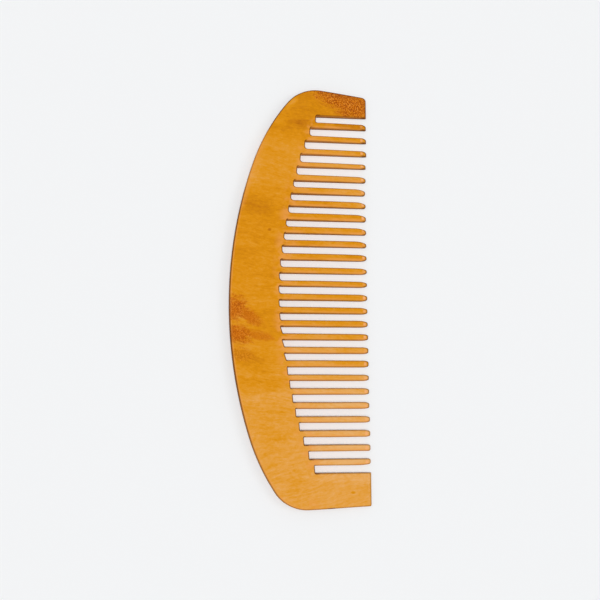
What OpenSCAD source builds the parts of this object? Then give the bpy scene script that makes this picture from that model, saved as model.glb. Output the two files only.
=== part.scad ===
// Wooden dressing comb, cut from one board: a curved spine, long teeth between two solid end guards.
// The flat back lies on Z = 0, the teeth point to +X and the comb's length runs along Y.

/* [Blade] */
// Width of the comb, from the middle of the spine to the end of the wide guard
blade_w = 59.9; // [55:0.1:70]
// Thickness along the blade's thickest line
blade_t = 3.9; // [3.5:0.1:6]
// Distance of the thickest line from the end of the wide guard
crown_in = 48; // [42:1:54]
// Radius of the gently crowned face, seen from the comb's end
crown_r = 640; // [500:10:900]
// Radius of the long spine curve
spine_r = 189; // [175:0.5:200]

/* [Narrow end] */
// Direction of the outline where the shoulder starts, in degrees from the teeth
narrow_shoulder_dir = 71; // [69:0.5:73]
// Radius of the shoulder, where the spine turns towards the end
narrow_shoulder_r = 88.5; // [80:0.5:100]
// Direction of the outline where the round nose starts
narrow_nose_dir = 51; // [48:0.5:55]
// Radius of the nose
narrow_nose_r = 16.7; // [14:0.1:19]
// Slope of the straight end edge
narrow_edge_slope = 6.5; // [2:0.5:12]
// Radius of the outer corner of the guard
narrow_corner_r = 1.3; // [0.5:0.1:3]
// How far the guard stands out past the wide one
narrow_reach = 0.5; // [0:0.1:1]

/* [Wide end] */
// Direction of the outline where the shoulder starts, in degrees from the teeth
wide_shoulder_dir = 72.8; // [71:0.1:75]
// Radius of the shoulder
wide_shoulder_r = 91.3; // [80:0.1:100]
// Direction of the outline where the round nose starts
wide_nose_dir = 57; // [54:0.5:60]
// Radius of the nose
wide_nose_r = 15.9; // [14:0.1:19]
// Slope of the straight end edge
wide_edge_slope = 3; // [1:0.5:6]
// Radius of the outer corner of the guard
wide_corner_r = 0.5; // [0.3:0.1:2]

/* [Teeth] */
// Number of gaps; the teeth are one fewer
gap_count = 27; // [21:2:27]
// Distance from one gap to the next
pitch = 5.8; // [5:0.1:5.8]
// Width of a gap
gap_w = 3.1; // [2.4:0.1:3.6]
// Place of the middle gap along the comb, from the middle of the spine
middle_gap_y = 6.2; // [5:0.1:8]
// Radius of the line on which the gaps end
root_r = 193; // [190:1:230]
// Length of the longest gap, from the end of the wide guard
root_in = 38.6; // [34:0.1:40]
// Place of the longest gap along the comb, from the middle of the spine
root_middle_y = 3.9; // [0:0.1:8]
// How far the teeth stop short of the wide guard
tooth_recess = 0.4; // [0:0.05:1]

/* [Tips] */
// Length of the slope ground into the upper face at the tips
grind_len = 2.2; // [1.5:0.1:4]
// Height of the upper edge of the tips
tip_top = 1.4; // [1.1:0.1:1.8]
// Length of the slope ground into the back at the tips
back_grind_len = 1.4; // [0.8:0.1:3]
// Height of the lower edge of the tips
tip_bottom = 0.35; // [0.1:0.05:0.6]

/* [Hidden] */
$fn = 180;

// Thickness of the board before its face is crowned
stock_t = 1.5 * blade_t;
// Step by which each smaller round stands proud of the curve that it continues, so that they join cleanly
blend = 0.002;
// Margin by which a cutting shape passes the face that it cuts
past = 5;

// Plan shape of the tips: how deep and how far back each side of a tooth is rounded off.
// Columns: first tooth of the group, upper depth, upper length, lower depth, lower length
tip_groups = [
    [1, 0.6, 2.0, 0.15, 0.8],
    [5, 1.2, 4.8, 0.15, 1.0],
    [11, 0.7, 4.2, 0.55, 3.6],
    [17, 0.35, 3.0, 0.35, 3.0]
];
tip_steps = 4;

function out(dir) = [-sin(dir), cos(dir)];
spine_c = [spine_r - blade_w, 0];

// The outline of one end, as points and centres worked out from the spine towards the guard
function shoulder_start(shoulder_dir) = spine_c + spine_r * out(shoulder_dir);
function shoulder_c(shoulder_dir, shoulder_r) =
    shoulder_start(shoulder_dir) - shoulder_r * out(shoulder_dir);
function nose_start(shoulder_dir, shoulder_r, nose_dir) =
    shoulder_c(shoulder_dir, shoulder_r) + shoulder_r * out(nose_dir);
function nose_c(shoulder_dir, shoulder_r, nose_dir, nose_r) =
    nose_start(shoulder_dir, shoulder_r, nose_dir) - nose_r * out(nose_dir);
function end_reach(shoulder_dir, shoulder_r, nose_dir, nose_r) =
    nose_c(shoulder_dir, shoulder_r, nose_dir, nose_r)[1] + nose_r;

narrow_top = end_reach(narrow_shoulder_dir, narrow_shoulder_r, narrow_nose_dir, narrow_nose_r);
wide_top = end_reach(wide_shoulder_dir, wide_shoulder_r, wide_nose_dir, wide_nose_r);

function gap_y(gap) = middle_gap_y + pitch * ((gap_count + 1) / 2 - gap);
function root_x(y) = root_r - root_in - sqrt(pow(root_r, 2) - pow(y - root_middle_y, 2));
function tip_group(tooth) =
    let (rows = [for (row = tip_groups) if (row[0] <= tooth) row])
    tooth < 1 || tooth >= gap_count ? [0, 0, 1, 0, 1] : rows[len(rows) - 1];
// Points along one rounded side of a tooth, from its straight part to its tip
function tip_side(y, depth, length) = [
    for (i = [0:tip_steps])
        [-tooth_recess - length * (1 - i / tip_steps), y + depth * pow(i / tip_steps, 2)]
];
function reversed(points) = [for (i = [len(points) - 1:-1:0]) points[i]];

// A round of the board's outline, between two of its directions
module sector(centre, radius, dir_a, dir_b) {
    linear_extrude(stock_t)
        intersection() {
            translate(centre) circle(r = radius);
            polygon([centre, centre + 2 * radius * out(dir_a), centre + 2 * radius * out(dir_b)]);
        }
}

// Half of the board, from the middle of the spine to one end
module half_board(shoulder_dir, shoulder_r, nose_dir, nose_r, edge_slope, corner_r, guard_x) {
    shoulder_p = shoulder_start(shoulder_dir);
    nose_p = nose_start(shoulder_dir, shoulder_r, nose_dir);
    nose_o = nose_c(shoulder_dir, shoulder_r, nose_dir, nose_r);
    edge_p = nose_o + nose_r * out(-edge_slope);
    edge_drop = (guard_x - corner_r - edge_p[0]) * tan(edge_slope);
    corner_o = [guard_x - corner_r, edge_p[1] - edge_drop - corner_r / cos(edge_slope)];

    sector(shoulder_c(shoulder_dir, shoulder_r), shoulder_r + blend, shoulder_dir + 1, nose_dir);
    translate(nose_o) cylinder(r = nose_r + 2 * blend, h = stock_t);
    translate(corner_o) cylinder(r = corner_r + blend, h = stock_t, $fn = 60);
    linear_extrude(stock_t)
        polygon([
            [guard_x, -past], [-blade_w / 2, -past], shoulder_p, nose_p, edge_p,
            corner_o + corner_r * out(-edge_slope), corner_o + [corner_r, 0]
        ]);
}

module board() {
    sector(spine_c, spine_r, 180 - wide_shoulder_dir, narrow_shoulder_dir);
    half_board(narrow_shoulder_dir, narrow_shoulder_r, narrow_nose_dir, narrow_nose_r,
        narrow_edge_slope, narrow_corner_r, narrow_reach);
    mirror([0, 1, 0])
        half_board(wide_shoulder_dir, wide_shoulder_r, wide_nose_dir, wide_nose_r,
            wide_edge_slope, wide_corner_r, 0);
}

// One gap: a straight saw cut that follows the root line at its end and the rounded tips at its mouth
module gap(number) {
    y = gap_y(number);
    top = y + gap_w / 2;
    bottom = y - gap_w / 2;
    above = tip_group(number - 1);
    below = tip_group(number);
    mouth_top = tip_side(top, above[3], above[4]);
    mouth_bottom = tip_side(bottom, -below[1], below[2]);
    polygon(concat(
        [[root_x(top), top]],
        mouth_top,
        [[past, top + above[3]], [past, bottom - below[1]]],
        reversed(mouth_bottom),
        [[root_x(bottom), bottom]]
    ));
}

// The strip in front of the teeth, where they stop short of the guards
module recess() {
    y_top = gap_y(1);
    y_bottom = gap_y(gap_count);
    translate([-tooth_recess, y_bottom]) square([past, y_top - y_bottom]);
}

// The board's section, seen from the comb's end: flat back, crowned face and ground tips
module section() {
    crown_at_grind = blade_t - pow(crown_in - grind_len, 2) / (2 * crown_r);
    grind_rise = (crown_at_grind - tip_top) / grind_len;
    intersection() {
        translate([-crown_in, blade_t - crown_r]) circle(r = crown_r, $fn = 720);
        polygon([
            [-blade_w - past, 0], [-back_grind_len, 0], [0, tip_bottom], [narrow_reach, tip_bottom],
            [narrow_reach, tip_top], [0, tip_top], [-past, tip_top + past * grind_rise],
            [-blade_w - past, 2 * stock_t]
        ]);
    }
}

module comb() {
    length = narrow_top + wide_top;
    color("peru")
        translate([(blade_w - narrow_reach) / 2, (wide_top - narrow_top) / 2, 0])
        difference() {
            intersection() {
                board();
                rotate([90, 0, 0]) linear_extrude(2 * length, center = true) section();
            }
            translate([0, 0, -past])
                linear_extrude(stock_t + 2 * past) {
                    for (number = [1:gap_count]) gap(number);
                    recess();
                }
        }
}

comb();
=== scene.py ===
import math

import bmesh
import bpy
from mathutils import Matrix, Vector, noise


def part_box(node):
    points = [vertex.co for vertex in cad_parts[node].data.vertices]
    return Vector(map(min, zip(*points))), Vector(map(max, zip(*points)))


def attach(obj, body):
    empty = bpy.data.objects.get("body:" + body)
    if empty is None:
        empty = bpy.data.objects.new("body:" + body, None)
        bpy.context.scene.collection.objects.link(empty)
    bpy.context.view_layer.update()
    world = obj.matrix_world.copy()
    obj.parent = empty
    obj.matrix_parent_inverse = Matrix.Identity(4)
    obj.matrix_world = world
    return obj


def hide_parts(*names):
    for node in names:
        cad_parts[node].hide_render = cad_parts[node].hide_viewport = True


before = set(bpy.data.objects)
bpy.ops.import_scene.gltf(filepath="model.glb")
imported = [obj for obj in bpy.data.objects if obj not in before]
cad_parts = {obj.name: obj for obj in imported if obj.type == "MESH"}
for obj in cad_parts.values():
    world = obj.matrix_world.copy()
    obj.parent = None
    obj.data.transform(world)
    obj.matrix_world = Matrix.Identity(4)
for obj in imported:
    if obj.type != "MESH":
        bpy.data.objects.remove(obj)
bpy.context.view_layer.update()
scene = bpy.context.scene

# The blade: one piece of hardwood, sawn to its outline and slotted by a row of saw cuts.
# Its face is sanded to a gentle crown, the spine is rounded over and the tips are ground thin.
# Every size below is in millimetres, measured from the wide guard's end and the middle of the spine.
MM = 0.001
low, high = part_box("comb")
guard_reach = 0.5
blade_w = (high.x - low.x) / MM - guard_reach
blade_t = (high.z - low.z) / MM

# The outline: the long spine, a shoulder and a nose at each end, and the straight end edges.
# Directions and slopes are in degrees from the direction of the teeth
spine_r = 189
narrow_end = {"shoulder_dir": 71, "shoulder_r": 88.5, "nose_dir": 51, "nose_r": 16.7, "slope": 6.5}
wide_end = {"shoulder_dir": 72.8, "shoulder_r": 91.3, "nose_dir": 57, "nose_r": 15.9, "slope": 2.4}
narrow_corner_r = 1.3
wide_corner_r = 0.6
spine_centre = Vector((spine_r - blade_w, 0, 0))

# The longest step in which the outline is made, and the most that it turns in one step, in degrees
arc_step = 2
arc_turn = 5

# Rings of the face that follow the spine, by their distance from the rim, and how far the rim is
# rounded over: in full left of rim_full_x, and not at all right of rim_none_x
rim_rings = (0, 0.8, 1.6, 2.6)
rim_drop = 0.3
back_rim_drop = 0.2
rim_full_x = -36
rim_none_x = -20

# The saw cuts: their number and spacing, the curve on which they end, and how far the teeth stop short
gap_count = 27
pitch = 5.8
middle_gap_y = 6.2
root_r = 193
root_in = 38.3
root_middle_y = 3.9
tooth_recess = 0.25

# How sawing by hand strayed: a slow drift along the row, a quicker sway in place and depth, each with
# the gap that it starts from and the gaps in half a wave, and the slips of single cuts
saw_drift = 0.33
drift_start = 15
drift_half_wave = 12
saw_sway = 0.13
root_sway = 0.37
sway_start = 3
sway_half_wave = 5.6
saw_slips = {1: -0.15, 4: -0.12, 5: 0.06, 8: 0.16, 11: 0.12, 14: 0.1, 20: -0.1, 24: 0.1}

# The cuts by group: first gap, width, slant of the end wall in degrees, and radius of its two corners
CUTS = [
    {"first": 1, "width": 3.05, "slant": -5, "lower_r": 0.8, "upper_r": 0.6},
    {"first": 2, "width": 3.65, "slant": -5, "lower_r": 1.3, "upper_r": 0.6},
    {"first": 6, "width": 3.0, "slant": -5, "lower_r": 1.3, "upper_r": 0.6},
    {"first": 11, "width": 3.2, "slant": 3, "lower_r": 1.1, "upper_r": 0.6},
    {"first": 15, "width": 2.9, "slant": 5, "lower_r": 0.7, "upper_r": 0.6},
    {"first": 17, "width": 2.9, "slant": 18, "lower_r": 0.3, "upper_r": 0.3},
    {"first": 20, "width": 3.15, "slant": 5, "lower_r": 0.3, "upper_r": 0.3},
]

# How the teeth were filed, by group: first tooth, how much longer they are, and for the upper and
# the lower side the depth and length of the filing and the radius of the corner
TIPS = [
    {"first": 1, "longer": 0.6, "upper": (0.4, 2.2, 0.8), "lower": (0.05, 0.8, 0)},
    {"first": 4, "longer": 0.2, "upper": (0.3, 2.0, 0.6), "lower": (0.1, 0.8, 0)},
    {"first": 5, "longer": 0.1, "upper": (0.7, 3.8, 0.6), "lower": (0.1, 1.0, 0.6)},
    {"first": 6, "longer": -0.25, "upper": (1.0, 4.8, 0.6), "lower": (0.2, 1.2, 0.6)},
    {"first": 7, "longer": -0.1, "upper": (1.0, 4.6, 0.6), "lower": (0.1, 1.0, 0.6)},
    {"first": 11, "longer": -0.1, "upper": (0.65, 3.8, 0.6), "lower": (0.45, 3.0, 0.6)},
    {"first": 17, "longer": 0.0, "upper": (0.4, 2.6, 0.6), "lower": (0.4, 2.6, 0.6)},
    {"first": 23, "longer": 0.2, "upper": (0.4, 2.6, 0.6), "lower": (0.4, 2.6, 0.6)},
    {"first": 25, "longer": 0.2, "upper": (0.1, 1.2, 0.75), "lower": (0.1, 1.2, 0.75)},
    {"first": 26, "longer": 0.2, "upper": (0.1, 1.2, 0.75), "lower": (0.5, 6.0, 0.75)},
]

# The slopes ground into both faces at the tips, and the crown of the face
grind_len = 2.2
tip_top = 1.4
back_grind_len = 1.4
tip_bottom = 0.35
crown_in = 48
crown_r = 640

# The eased edges, and the turn from which an edge stays sharp
edge_r = 0.5
edge_segments = 4
corner_segments = 5
sharp_from = math.radians(50)

# How finely the face is divided: lines across the teeth and the body, closer at the tips.
# A line that passes this close to a point takes the point. The teeth lie right of body_x
body_lines = [-54 + 4 * i for i in range(13)]
filing_lines = [-4.8, -3.8, -3, -2.2, -1.8, -1.4]
tip_lines = [-1.1, -0.7, -0.4]
snap = 0.02
body_x = -42

# How far the walls of the cuts wander, and over what length and width of the comb
wander = 0.07
wander_length = 14
wander_width = 3.4

# The wear on the sides of the teeth starts at the cuts' ends, and is there in full this far out
side_fade = 1.6


def out(direction):
    """Unit vector that points out of the outline where it runs in this direction, in degrees."""
    return Vector((-math.sin(math.radians(direction)), math.cos(math.radians(direction)), 0))


def end_rounds(end):
    """The two rounds of one end, shoulder and nose: centre, radius, first and last direction."""
    shoulder = spine_centre + (spine_r - end["shoulder_r"]) * out(end["shoulder_dir"])
    nose = shoulder + (end["shoulder_r"] - end["nose_r"]) * out(end["nose_dir"])
    return [
        (shoulder, end["shoulder_r"], end["shoulder_dir"], end["nose_dir"]),
        (nose, end["nose_r"], end["nose_dir"], -end["slope"]),
    ]


def mirrored(rounds):
    """The same rounds at the other end of the comb."""
    return [(Vector((c.x, -c.y, 0)), r, 180 - first, 180 - last) for c, r, first, last in rounds]


narrow_rounds = [(c, r, last, first) for c, r, first, last in reversed(end_rounds(narrow_end))]
wide_rounds = mirrored(end_rounds(wide_end))
spine_round = (spine_centre, spine_r, narrow_end["shoulder_dir"], 180 - wide_end["shoulder_dir"])
rounds = narrow_rounds + [spine_round] + wide_rounds


def end_corner(nose_round, side, slope, guard_x):
    """Where the straight end edge, which leaves the nose at this slope, meets the guard's end."""
    nose, nose_r, _, _ = nose_round
    edge = nose + nose_r * out(-slope if side > 0 else 180 + slope)
    return Vector((guard_x, edge.y + side * (edge.x - guard_x) * math.tan(math.radians(slope)), 0))


def group(rows, number):
    """The row for this number, where each row gives the first number of its group."""
    return [row for row in rows if row["first"] <= number][-1]


def sway(gap):
    """1 where the saw ran low and deep, and -1 where it ran high and short."""
    return math.cos(math.pi * (gap - sway_start) / sway_half_wave)


def gap_y(gap):
    """Middle of a gap along the comb: even pitch, as far as cuts made by hand keep to it."""
    drift = saw_drift * math.sin(math.pi * (gap - drift_start) / drift_half_wave) - saw_sway * sway(gap)
    return middle_gap_y + pitch * ((gap_count + 1) / 2 - gap) + drift + saw_slips.get(gap, 0)


def root_x(gap):
    """Place of a gap's end across the comb."""
    y = gap_y(gap) - root_middle_y
    return root_r - root_in - math.sqrt(root_r**2 - y**2) - root_sway * sway(gap)


def gap_sides(gap):
    """Places of a gap's lower and upper side along the comb."""
    half = group(CUTS, gap)["width"] / 2
    return gap_y(gap) - half, gap_y(gap) + half


def tooth_sides(tooth):
    """Places of a tooth's lower and upper side: it stands between two gaps."""
    return gap_sides(tooth + 1)[1], gap_sides(tooth)[0]


def tooth_end(tooth):
    """Place of a tooth's tip across the comb."""
    return group(TIPS, tooth)["longer"] - tooth_recess


def smooth(start, end, value):
    """0 before start, 1 past end and a smooth turn between."""
    share = min(max((value - start) / (end - start), 0), 1)
    return share * share * (3 - 2 * share)


def tooth_share(x, y):
    """-1 at the lower side of a tooth and 1 at its upper side, from a little way out of the cuts' ends."""
    tooth = round((gap_count + 1) / 2 - (y - middle_gap_y) / pitch - 0.5)
    if not 0 < tooth < gap_count:
        return 0
    y_low, y_high = tooth_sides(tooth)
    share = min(max((2 * y - y_low - y_high) / (y_high - y_low), -1), 1)
    gap = tooth if share > 0 else tooth + 1
    return share * smooth(0, side_fade, x - root_x(gap))


def nearest_vert(bm, x, y):
    """The point of the flat face that is nearest to this place."""
    return min(bm.verts, key=lambda v: (v.co - Vector((x, y, 0))).length)


def round_corner(bm, corner, radius):
    """Rounds one corner of the flat face."""
    bmesh.ops.bevel(
        bm, geom=[corner], offset=radius, offset_type="OFFSET", segments=corner_segments, profile=0.5,
        affect="VERTICES", material=-1
    )


def cut_at(bm, faces, place, normal, near=0.0):
    """Cuts the faces along a plane. Points of theirs this near to it are used as they are."""
    geom = set(faces)
    for face in faces:
        geom.update(face.edges)
        geom.update(face.verts)
    bmesh.ops.bisect_plane(bm, geom=list(geom), dist=near, plane_co=place, plane_no=normal)


bm = bmesh.new()
inset = bm.verts.layers.float.new("inset")
eased_edge = bm.verts.layers.float.new("eased_edge")
tooth_side = bm.verts.layers.float.new("tooth_side")
is_rim = bm.faces.layers.int.new("is_rim")

# The rim: a short line across it, spun round each centre of the outline in turn
first_centre, first_r, first_dir, _ = rounds[0]
first_line = []
for ring in rim_rings:
    vert = bm.verts.new(first_centre + (first_r - ring) * out(first_dir))
    vert[inset] = ring
    first_line.append(vert)
line = first_line + [bm.edges.new(pair) for pair in zip(first_line, first_line[1:])]
for centre, radius, first, last in rounds:
    turn = math.radians(last - first)
    steps = max(math.ceil(radius * turn / arc_step), math.ceil((last - first) / arc_turn))
    spun = bmesh.ops.spin(
        bm, geom=line, cent=centre, axis=(0, 0, 1), angle=turn, steps=steps, use_duplicate=False
    )
    line = spun["geom_last"]
last_line = [v for v in line if isinstance(v, bmesh.types.BMVert)]
for face in bm.faces:
    face[is_rim] = 1

# The rest of the face, closed between the rim, the two end edges and the ends of the guards
inner_edges = [e for e in bm.edges if e.is_boundary and any(v[inset] > 0 for v in e.verts)]
corners = [
    bm.verts.new(end_corner(narrow_rounds[0], 1, narrow_end["slope"], guard_reach)),
    bm.verts.new(end_corner(wide_rounds[-1], -1, wide_end["slope"], 0)),
]
for corner in corners:
    corner[inset] = rim_rings[-1]
around = [first_line[0], *corners, last_line[0]]
inner_edges += [bm.edges.new(pair) for pair in zip(around, around[1:])]
for face in bmesh.ops.contextual_create(bm, geom=inner_edges)["faces"]:
    face[is_rim] = 0
bmesh.ops.recalc_face_normals(bm, faces=bm.faces)
if bm.faces[0].normal.z < 0:
    bmesh.ops.reverse_faces(bm, faces=bm.faces)


def inner_faces(bm, x_low, y_low=-math.inf, y_high=math.inf):
    """Faces inside the rim whose middle lies right of x_low and between two places along the comb."""
    found = []
    for face in bm.faces:
        middle = face.calc_center_bounds()
        if not face[is_rim] and middle.x > x_low and y_low < middle.y < y_high:
            found.append(face)
    return found


# The cuts: the face is divided at both sides of each gap, then each gap is cut off at its root
cut_at(bm, inner_faces(bm, -blade_w), (body_x, 0, 0), (1, 0, 0))
for gap in range(1, gap_count + 1):
    for side in gap_sides(gap):
        cut_at(bm, inner_faces(bm, body_x), (0, side, 0), (0, 1, 0))
for gap in range(1, gap_count + 1):
    y_low, y_high = gap_sides(gap)
    middle = (y_low + y_high) / 2
    root = root_x(gap)
    slant = math.radians(group(CUTS, gap)["slant"])
    across = (math.cos(slant), math.sin(slant), 0)
    cut_at(bm, inner_faces(bm, root, y_low, y_high), (root, middle, 0), across)
    bmesh.ops.delete(bm, geom=inner_faces(bm, root, y_low, y_high), context="FACES")

# The teeth stop short of the guards
for tooth in range(1, gap_count):
    y_low, y_high = tooth_sides(tooth)
    stop = tooth_end(tooth)
    cut_at(bm, inner_faces(bm, body_x, y_low, y_high), (stop, 0, 0), (1, 0, 0))
    bmesh.ops.delete(bm, geom=inner_faces(bm, stop, y_low, y_high), context="FACES")

# The body is one face again behind the cuts
lines = [
    e for e in bm.edges
    if not e.is_boundary and not any(f[is_rim] for f in e.link_faces) and e.verts[0].co.y == e.verts[1].co.y
]
bmesh.ops.dissolve_edges(bm, edges=lines, use_verts=False, use_face_split=False)

# Each side of a tooth, at 1 or -1 from its middle, is filed rounder towards the tip
side_margin = 0.001
for x in filing_lines:
    cut_at(bm, inner_faces(bm, body_x), (x, 0, 0), (1, 0, 0))
for tooth in range(1, gap_count):
    y_low, y_high = tooth_sides(tooth)
    middle, half = (y_low + y_high) / 2, (y_high - y_low) / 2
    shape = group(TIPS, tooth)
    for vert in bm.verts:
        offset = (vert.co.y - middle) / half
        if abs(offset) < 1 + side_margin:
            depth, length, _ = shape["upper" if offset > 0 else "lower"]
            reach = max(0, (vert.co.x - tooth_end(tooth) + length) / length)
            vert.co.y -= depth * reach**2 * offset

# The corners of the cuts, the tips and the guards are rounded
for gap in range(1, gap_count + 1):
    end = group(CUTS, gap)
    for side, radius in zip(gap_sides(gap), (end["lower_r"], end["upper_r"])):
        round_corner(bm, nearest_vert(bm, root_x(gap), side), radius)
for tooth in range(1, gap_count):
    y_low, y_high = tooth_sides(tooth)
    lower_depth, _, lower_r = group(TIPS, tooth)["lower"]
    upper_depth, _, upper_r = group(TIPS, tooth)["upper"]
    for y, radius in ((y_low + lower_depth, lower_r), (y_high - upper_depth, upper_r)):
        if radius > 0:
            round_corner(bm, nearest_vert(bm, tooth_end(tooth), y), radius)
for corner, radius in zip(corners, (narrow_corner_r, wide_corner_r)):
    round_corner(bm, corner, radius)

# The board's thickness: the face is raised, and the long edges between faces and walls are eased
top = bmesh.ops.extrude_face_region(bm, geom=list(bm.faces), use_keep_orig=True)["geom"]
top_verts = [v for v in top if isinstance(v, bmesh.types.BMVert)]
bmesh.ops.translate(bm, verts=top_verts, vec=(0, 0, blade_t))
bmesh.ops.recalc_face_normals(bm, faces=bm.faces)
long_edges = [e for e in bm.edges if {round(abs(f.normal.z)) for f in e.link_faces} == {0, 1}]
bmesh.ops.bevel(
    bm, geom=long_edges, offset=edge_r, offset_type="OFFSET", segments=edge_segments, profile=0.5,
    affect="EDGES", clamp_overlap=False, material=-1
)
for x in body_lines + tip_lines:
    cut_at(bm, [f for f in bm.faces if not f[is_rim]], (x, 0, 0), (1, 0, 0), snap)
for tooth in range(1, gap_count):
    middle = sum(tooth_sides(tooth)) / 2
    cut_at(bm, [f for f in bm.faces if not f[is_rim]], (0, middle, 0), (0, 1, 0), snap)

# No cut made by hand runs quite straight
for vert in bm.verts:
    vert[tooth_side] = tooth_share(vert.co.x, vert.co.y)
    if vert.co.x > body_x:
        scaled = Vector((vert.co.x / wander_length, vert.co.y / wander_width, 0))
        vert.co.y += wander * noise.noise(scaled)

# The face is crowned, rolled down towards the spine and ground at the tips, and the back a little too.
# How far round the eased edge a point lies is kept, from 0 on the face to 1 on the wall
for vert in bm.verts:
    x = vert.co.x
    flat = min(abs(vert.co.z), abs(blade_t - vert.co.z))
    vert[eased_edge] = math.acos(max(1 - flat / edge_r, 0)) / (math.pi / 2)
    roll = (1 - vert[inset] / rim_rings[-1]) ** 2 * (1 - smooth(rim_full_x, rim_none_x, x))
    tip = min(max(0, 1 + x / grind_len), 1) ** 2
    back_tip = min(max(0, 1 + x / back_grind_len), 1) ** 2
    crowned = blade_t - (x + crown_in) ** 2 / (2 * crown_r)
    face_z = crowned - rim_drop * roll - (crowned - tip_top) * tip
    back_z = back_rim_drop * roll + tip_bottom * back_tip
    vert.co.z = back_z + vert.co.z / blade_t * (face_z - back_z)

# The blade is put where the solid is, in metres
nose_centre, nose_r = narrow_rounds[0][:2]
narrow_reach = nose_centre.y + nose_r
blade_place = Matrix.Translation((high.x - guard_reach * MM, high.y - narrow_reach * MM, low.z))
bmesh.ops.transform(bm, matrix=blade_place @ Matrix.Diagonal((MM, MM, MM, 1)), verts=bm.verts)
for face in bm.faces:
    face.smooth = True
for edge in bm.edges:
    edge.smooth = edge.calc_face_angle() < sharp_from
mesh = bpy.data.meshes.new("comb_blade")
bm.to_mesh(mesh)
bm.free()
blade = bpy.data.objects.new("comb_blade", mesh)
scene.collection.objects.link(blade)
weighted = blade.modifiers.new("even_normals", "WEIGHTED_NORMAL")
weighted.keep_sharp = True
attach(blade, "root")
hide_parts("comb")

# The finish: an amber oil varnish over pale wood whose grain runs from the spine into the teeth.
# It has gone in darker in a burnt patch at the spine and on the narrow guard, and is paler round
# the cuts, towards the wide end and along the sides of the teeth. Light and shade are painted in
# as well: a sheen along the spine, a highlight at each tip, shade on the edges and low on the walls.
varnish = bpy.data.materials.new("amber_varnish")
varnish.use_nodes = True
nodes, links = varnish.node_tree.nodes, varnish.node_tree.links
shader = nodes["Principled BSDF"]


def plug(socket, value):
    """Sets a socket to a value, or links another node's output to it."""
    if isinstance(value, bpy.types.NodeSocket):
        links.new(value, socket)
    else:
        socket.default_value = value


def add(kind, values, **settings):
    """A new node with these settings, and values or links for its inputs by name or number."""
    made = nodes.new("ShaderNode" + kind)
    for name, setting in settings.items():
        setattr(made, name, setting)
    for name, value in values.items():
        plug(made.inputs[name], value)
    return made


def calc(operation, *values):
    """What a Math node makes of these values."""
    return add("Math", dict(enumerate(values)), operation=operation).outputs[0]


def times(mask, *masks):
    """The product of the masks: 1 only where all of them are."""
    for other in masks:
        mask = calc("MULTIPLY", mask, other)
    return mask


def greatest(mask, *masks):
    """The greatest of the masks: 1 where any of them is."""
    for other in masks:
        mask = calc("MAXIMUM", mask, other)
    return mask


def ease(value, start, end, low=0.0, high=1.0):
    """Turns smoothly from low to high as the value goes from start to end."""
    given = {"Value": value, "From Min": start, "From Max": end, "To Min": low, "To Max": high}
    return add("MapRange", given, interpolation_type="SMOOTHSTEP").outputs["Result"]


def cloud(place, along, across, detail=2.0, rough=0.5):
    """Noise around 0 whose patches are about this long along and across the grain."""
    sized = add("Mapping", {"Vector": place, "Scale": (1 / along, 1 / across, 1 / across)}).outputs[0]
    made = add("TexNoise", {"Vector": sized, "Scale": 1.0, "Detail": detail, "Roughness": rough})
    return calc("SUBTRACT", made.outputs["Fac"], 0.5)


def tint(mask, colour, other):
    """The colour, with the other colour where the mask is 1."""
    return add("Mix", {"Factor": mask, "A": colour, "B": other}, data_type="RGBA").outputs["Result"]


def srgb(red, green, blue):
    """A colour given as it is seen, 0 to 255, as the shader's own linear values."""
    return [((c / 255 + 0.055) / 1.055) ** 2.4 for c in (red, green, blue)] + [1]


def ramp(value, stops):
    """The colour that a Color Ramp with these stops gives for the value."""
    made = add("ValToRGB", {"Fac": value})
    elements = made.color_ramp.elements
    while len(elements) < len(stops):
        elements.new(1)
    for element, (position, colour) in zip(elements, stops):
        element.position = position
        element.color = colour
    return made.outputs["Color"]


# Places on the comb, in millimetres, as in the blade's own outline
in_mm = {
    "Vector": add("TexCoord", {}).outputs["Object"],
    "Scale": [1 / MM] * 3,
    "Location": blade_place.translation / -MM,
}
spot = add("Mapping", in_mm).outputs[0]
spot_axes = add("SeparateXYZ", {"Vector": spot}).outputs
spot_x, spot_y, spot_z = spot_axes["X"], spot_axes["Y"], spot_axes["Z"]

# How far a place lies behind the curve on which the cuts end, negative on the teeth
root_centre = (root_r - root_in, root_middle_y, 0)
from_centre = add("VectorMath", {0: spot, 1: root_centre}, operation="DISTANCE")
behind_cuts = calc("SUBTRACT", from_centre.outputs["Value"], root_r)

# What the mesh keeps for the finish: the way round the eased edge, from 0 on the face to 1 on the wall,
# the way across a tooth, from -1 at its lower side to 1 at its upper, and the distance from the rim
eased = add("Attribute", {}, attribute_name="eased_edge").outputs["Fac"]
across_tooth = add("Attribute", {}, attribute_name="tooth_side").outputs["Fac"]
from_rim = add("Attribute", {}, attribute_name="inset").outputs["Fac"]

# The grain falls a little towards the teeth, rises in the wide guard and is never quite straight
grain_fall = 0.15
guard_rise = -0.27
wave_length = 22
wave_depth = 7.0
slope = ease(spot_y, -90, -36, low=guard_rise, high=grain_fall)
waves = times(cloud(spot, wave_length, wave_length, detail=1.0), wave_depth)
grain_y = calc("ADD", calc("MULTIPLY_ADD", spot_x, slope, spot_y), waves)
grain = add("CombineXYZ", {"X": spot_x, "Y": grain_y, "Z": spot_z}).outputs[0]

# Its marks: long streaks, broad bands, clouds, short fibres and a fine mottle over all
streaks = cloud(grain, 7, 0.6, detail=3.0, rough=0.6)
bands = cloud(grain, 30, 3.0)
clouds = cloud(grain, 14, 9)
fibres = cloud(grain, 2.2, 0.45, rough=0.6)
mottle = cloud(spot, 1.6, 1.1, detail=3.0, rough=0.65)

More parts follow.
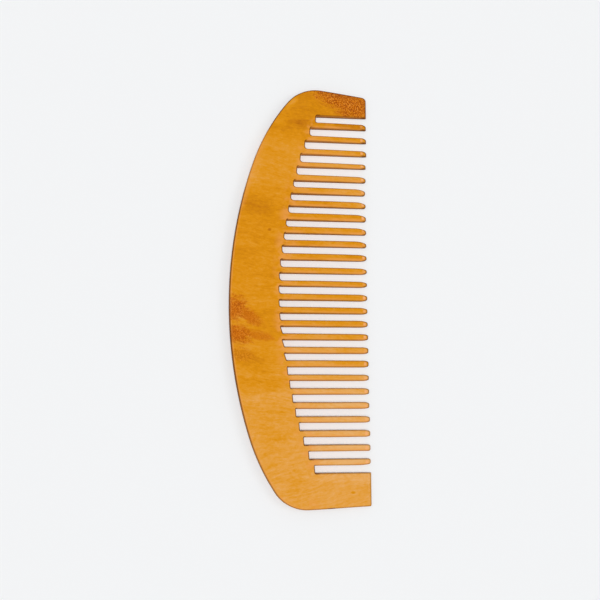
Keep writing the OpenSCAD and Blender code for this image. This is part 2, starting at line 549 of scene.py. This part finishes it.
# Tone of the varnish along the comb: place from the wide end to the narrow end, and tone
TONES = [
    (-86, 0.76), (-64, 0.74), (-52, 0.66), (-40, 0.70), (-33, 0.57), (-15, 0.52), (16, 0.49),
    (42, 0.44), (52, 0.54), (61, 0.60), (69, 0.54), (77, 0.43), (94, 0.38),
]
low_y, high_y = TONES[0][0], TONES[-1][0]
share = add("MapRange", {"Value": spot_y, "From Min": low_y, "From Max": high_y}).outputs["Result"]
tone = ramp(share, [((y - low_y) / (high_y - low_y), (t, t, t, 1)) for y, t in TONES])
streak_strength = ease(spot_y, -10, -40, low=0.22, high=0.40)
tone = calc("MULTIPLY_ADD", streaks, streak_strength, tone)
for mark, strength in ((bands, 0.28), (clouds, 0.26), (mottle, 0.42), (fibres, 0.30)):
    tone = calc("MULTIPLY_ADD", mark, strength, tone)

# The teeth are paler, most of all towards the wide end
on_teeth = ease(calc("ABSOLUTE", calc("SUBTRACT", spot_y, middle_gap_y)), 76.5, 74.5)
paler_teeth = times(ease(spot_y, -8, -34, low=0.06, high=0.23), on_teeth)
tone = calc("MULTIPLY_ADD", ease(behind_cuts, 1.0, -3.0), paler_teeth, tone)

# Stains, as ovals: place of the middle, reach across and along the comb, turn in degrees and strength.
# They are olive smudges, small specks and, where the strength is negative, warm pale blotches
STAINS = [
    {"place": (-28.6, 79.8), "reach": (3.2, 1.6), "turn": 0, "strength": 0.13},
    {"place": (-33.0, 78.2), "reach": (8.0, 1.8), "turn": -4, "strength": 0.10},
    {"place": (-46.8, 42.1), "reach": (7.0, 4.5), "turn": -8, "strength": 0.09},
    {"place": (-42.9, -55.5), "reach": (9.0, 3.6), "turn": -6, "strength": 0.10},
    {"place": (-47.0, -34.0), "reach": (11.0, 2.5), "turn": -12, "strength": 0.08},
    {"place": (-42.7, 31.9), "reach": (0.9, 0.6), "turn": 0, "strength": 0.30},
    {"place": (-7.8, -78.8), "reach": (1.1, 0.7), "turn": 0, "strength": 0.30},
    {"place": (-26.4, -79.2), "reach": (0.8, 0.5), "turn": 0, "strength": 0.16},
    {"place": (-33.0, -69.7), "reach": (0.8, 0.5), "turn": 0, "strength": 0.18},
    {"place": (-51.0, 57.0), "reach": (4.0, 13.0), "turn": -22, "strength": -0.10},
    {"place": (-33.6, 88.2), "reach": (2.2, 4.0), "turn": -50, "strength": -0.18},
    {"place": (-6.0, 78.9), "reach": (8.0, 2.2), "turn": 0, "strength": 0.14},
    {"place": (-38.0, 81.0), "reach": (3.2, 5.0), "turn": 0, "strength": -0.12},
    {"place": (-6.0, 46.6), "reach": (14.0, 6.0), "turn": 0, "strength": -0.15},
    {"place": (-4.0, 20.7), "reach": (10.0, 2.6), "turn": 0, "strength": 0.07},
    {"place": (-34.5, 14.7), "reach": (4.0, 4.0), "turn": 0, "strength": -0.12},
    {"place": (-22.0, -17.0), "reach": (14.0, 6.0), "turn": 0, "strength": -0.12},
    {"place": (-5.0, -25.5), "reach": (12.0, 2.6), "turn": 0, "strength": 0.13},
    {"place": (-48.6, -27.0), "reach": (8.0, 4.0), "turn": -8, "strength": 0.08},
    {"place": (-40.0, -36.5), "reach": (9.0, 3.2), "turn": -8, "strength": -0.10},
    {"place": (-13.0, -72.2), "reach": (18.0, 2.8), "turn": 0, "strength": -0.15},
]
raggedness = 1.5
ragged = times(cloud(grain, 2.6, 1.2, detail=3.0, rough=0.6), raggedness)
oval_outside = 1.25
oval_inside = 0.45


def oval(row):
    """1 inside a turned oval on the face, 0 outside, with a soft and ragged outline."""
    shape = {
        "Vector": spot,
        "Location": (*row["place"], blade_t),
        "Rotation": (0, 0, math.radians(row["turn"])),
        "Scale": (*row["reach"], 2 * blade_t),
    }
    centred = add("Mapping", shape, vector_type="TEXTURE").outputs[0]
    away = add("VectorMath", {0: centred}, operation="LENGTH").outputs["Value"]
    return ease(calc("ADD", away, ragged), oval_outside, oval_inside)


for stain in STAINS:
    tone = calc("MULTIPLY_ADD", oval(stain), -stain["strength"], tone)

# The wood's colour by tone, from dark to pale
WOOD_TONES = [
    (0.00, srgb(152, 80, 2)),
    (0.20, srgb(191, 114, 2)),
    (0.38, srgb(207, 131, 3)),
    (0.50, srgb(218, 141, 8)),
    (0.62, srgb(222, 149, 38)),
    (0.76, srgb(226, 158, 67)),
    (1.00, srgb(231, 174, 106)),
]
colour = ramp(tone, WOOD_TONES)

# Burnt places, as ovals: two lobes at the spine with a smear behind each, a faint one below them,
# and the narrow guard. The burn is a red brown, broken up by dark and pale specks
BURNS = [
    {"place": (-57.5, -2.0), "reach": (5.0, 6.0), "turn": -8, "strength": 1.0, "speckle": 0.55},
    {"place": (-51.0, -5.6), "reach": (6.5, 3.0), "turn": -35, "strength": 0.9, "speckle": 0.3},
    {"place": (-56.0, -13.0), "reach": (6.5, 4.2), "turn": -10, "strength": 1.0, "speckle": 0.5},
    {"place": (-48.0, -13.4), "reach": (8.0, 2.0), "turn": -12, "strength": 0.8, "speckle": 0.2},
    {"place": (-54.6, -21.5), "reach": (5.5, 3.0), "turn": -8, "strength": 0.4, "speckle": 0.35},
    {"place": (-10.5, 90.4), "reach": (16.5, 5.0), "turn": -24, "strength": 0.9, "speckle": 1.0},
    {"place": (-4.0, 87.5), "reach": (10.0, 6.5), "turn": 0, "strength": 0.85, "speckle": 1.0},
]
burn, speckle = 0.0, 0.0
for row in BURNS:
    inside = oval(row)
    burn = greatest(times(inside, row["strength"]), burn)
    speckle = greatest(times(inside, row["speckle"]), speckle)
burn_red = srgb(198, 104, 0)
burn_dark = srgb(138, 56, 0)
burn_pale = srgb(236, 156, 60)
speckle_turn = math.radians(62)
steep = add("Mapping", {"Vector": spot, "Rotation": (0, 0, speckle_turn)}).outputs[0]
dots = cloud(steep, 0.6, 0.4, detail=1.0)
colour = tint(times(burn, ease(clouds, -0.25, 0.1, low=0.6, high=0.95)), colour, burn_red)
colour = tint(times(speckle, ease(dots, 0.0, 0.10, high=0.85)), colour, burn_dark)
colour = tint(times(speckle, ease(dots, -0.08, -0.15, high=0.75)), colour, burn_pale)

# The end edge of the narrow guard is charred
CHARRED = {"place": (-13.0, 93.3), "reach": (10.0, 1.5), "turn": -7, "strength": 0.4}
colour = tint(times(oval(CHARRED), CHARRED["strength"]), colour, burn_dark)

# Paler, pinker wood round the ends of the cuts
paler_and_sheen = srgb(231, 155, 75)
tip_highlight_pink = srgb(243, 172, 112)
round_cuts = times(
    ease(behind_cuts, 4.5, 0.5), ease(behind_cuts, -9.0, -1.0), on_teeth,
    ease(cloud(spot, 3.5, 2.5), -0.1, 0.15, high=0.75)
)
colour = tint(round_cuts, colour, paler_and_sheen)

# Along the sides of the teeth, most of all low on them
side_paling = greatest(ease(across_tooth, 0.1, -0.75), ease(across_tooth, 0.5, 1.0, high=0.35))
side_patches = ease(cloud(spot, 9, 3), -0.2, 0.15, low=0.1, high=0.8)
colour = tint(times(side_paling, side_patches), colour, paler_and_sheen)

# At each tip, a small paler and pinker spot a little way back from the end: partly pinker wood,
# partly a painted highlight on the ground slope
tip_highlight_spot = times(
    ease(spot_x, -2.7, -2.1), ease(spot_x, -1.1, -1.6), ease(calc("ABSOLUTE", across_tooth), 0.7, 0.2)
)
tip_patches = ease(cloud(spot, 40, 3.5), -0.15, 0.1, low=0.3)
colour = tint(times(tip_highlight_spot, on_teeth, tip_patches), colour, tip_highlight_pink)

# Along the spine, a narrow paler strip, wider on the narrow end's shoulder and faint over the burn:
# a painted sheen where the rounded-over rim catches the light
before_nose = ease(spot_y, 78, 66)
on_shoulder = times(ease(spot_y, 36, 48), before_nose)
spine_sheen_strip = greatest(
    ease(from_rim, 1.3, 0.6, high=0.65), times(ease(from_rim, 2.6, 0.8, high=0.42), on_shoulder)
)
sheen_patches = ease(cloud(spot, 4, 4), -0.2, 0.1, low=0.3)
spine_sheen_strip = times(spine_sheen_strip, sheen_patches, ease(burn, 0.7, 0.1, low=0.4), before_nose)
colour = tint(spine_sheen_strip, colour, paler_and_sheen)

# The sawn walls: light on their upper part, painted light that keeps the shaded walls as bright as
# the face, and darker low down as a painted shadow towards the floor. They are also darker on the two
# ends and on the outside, and darker in the middle cuts than in the others
sawn_painted_light = srgb(230, 158, 80)
sawn_dark_and_shadow = srgb(130, 86, 43)
painted_floor_shadow = ease(spot_z, 1.8, 0.9)
on_ends = ease(calc("ABSOLUTE", spot_y), 83.6, 85.6)
on_body = ease(behind_cuts, 2, 5)
outer_wall = times(on_body, ease(spot_y, 70, 46, low=0.2, high=0.7))
middle_cuts = times(ease(spot_y, 60, 46, high=0.35), ease(spot_y, -15, 0))
sawn_and_shadow = tint(greatest(painted_floor_shadow, on_ends, outer_wall, middle_cuts), sawn_painted_light, sawn_dark_and_shadow)
colour = tint(ease(eased, 0.5, 1.0, high=0.8), colour, sawn_and_shadow)

# A brown line on the edges, partly brown varnish gathered there and partly painted shade of the
# rounded edges: in the cuts it is faint, but for their ends
edge_brown_and_shade = srgb(108, 60, 18)
line_in_cuts = 0.4
more_at_ends = 0.45
cut_ends = times(ease(behind_cuts, -1.0, -0.5), ease(behind_cuts, 3.0, 1.5))
inner_line = times(
    ease(eased, 0.0, 0.2), ease(eased, 1.0, 0.7),
    calc("MULTIPLY_ADD", cut_ends, more_at_ends, line_in_cuts),
    greatest(ease(across_tooth, -0.5, -0.05), ease(spot_y, 20, -5))
)

# On the outside the line is dark, with painted shade on the rounded rim and the ground tips: along
# the spine, on the two ends and on the tips
on_spine = times(on_body, greatest(ease(spot_y, 62, 40, low=0.25), ease(spot_y, 70, 80)))
on_tips = ease(spot_x, -3.0, -0.6)
outer_line = times(
    greatest(ease(eased, 0.0, 0.12), ease(from_rim, 0.4, 0.0, high=0.8)),
    greatest(on_spine, on_ends, on_tips),
    ease(spot_y, -70, -25, low=0.45, high=0.8)
)
colour = tint(greatest(inner_line, outer_line), colour, edge_brown_and_shade)

# The varnish has a faint satin gloss, which the sawn walls lack, and shows the grain in slight relief
roughness = ease(eased, 0.3, 0.9, low=0.42, high=0.75)
rough_mottle = 0.2
plug(shader.inputs["Base Color"], colour)
plug(shader.inputs["Roughness"], calc("MULTIPLY_ADD", mottle, rough_mottle, roughness))
plug(shader.inputs["Coat Weight"], ease(eased, 0.4, 0.1, high=0.2))
shader.inputs["Coat Roughness"].default_value = 0.2
shader.inputs["Specular IOR Level"].default_value = 0.06
streak_relief = 0.5
mottle_relief = 0.6
height = calc("ADD", times(streaks, streak_relief), times(mottle, mottle_relief))
bump = add("Bump", {"Height": height, "Strength": 0.15, "Distance": 0.3 * MM})
plug(shader.inputs["Normal"], bump.outputs["Normal"])
mesh.materials.append(varnish)

# The floor: plain and pale, and six metres wide
floor_size = 6
floor_white = (0.885, 0.895, 0.905, 1)
bpy.ops.mesh.primitive_grid_add(x_subdivisions=2, y_subdivisions=2, size=floor_size)
floor = bpy.context.object
floor.name = "floor"
floor_look = bpy.data.materials.new("pale_floor")
floor_look.use_nodes = True
floor_look.node_tree.nodes["Principled BSDF"].inputs["Base Color"].default_value = floor_white
floor_look.node_tree.nodes["Principled BSDF"].inputs["Roughness"].default_value = 0.8
floor.data.materials.append(floor_look)


def lamp(name, direction, strength, angle, in_gloss=True):
    """A sun lamp that shines from this direction, this wide in degrees, and seen in gloss or not."""
    light = bpy.data.lights.new(name, "SUN")
    light.energy = strength
    light.angle = math.radians(angle)
    holder = bpy.data.objects.new(name, light)
    holder.rotation_euler = Vector(direction).to_track_quat("Z", "Y").to_euler()
    holder.visible_glossy = in_gloss
    scene.collection.objects.link(holder)


# Soft studio light: nearly all of it from straight above, with weak fills from both sides and all round
lamp("key", direction=(-0.03, -0.1, 1), strength=2.06, angle=12, in_gloss=False)
lamp("left_fill", direction=(-1, 0.1, 1), strength=0.12, angle=60)
lamp("right_fill", direction=(1.2, 0, 1), strength=0.25, angle=25)
world_strength = 0.3
world = bpy.data.worlds.new("studio")
scene.world = world
world.use_nodes = True
world.node_tree.nodes["Background"].inputs["Color"].default_value = (1, 1, 1, 1)
world.node_tree.nodes["Background"].inputs["Strength"].default_value = world_strength
scene.view_settings.view_transform = "Standard"

# The camera, above the comb and a little towards its spine and wide end
camera_place = (-60.3, -59.8, 419.15)
camera_turn = (7.817, -8.165, -0.48)
camera_data = bpy.data.cameras.new("camera")
camera_data.lens = 60
camera_data.sensor_width = 36
camera = bpy.data.objects.new("camera", camera_data)
camera.location = [c * MM for c in camera_place]
camera.rotation_euler = [math.radians(a) for a in camera_turn]
scene.collection.objects.link(camera)
scene.camera = camera
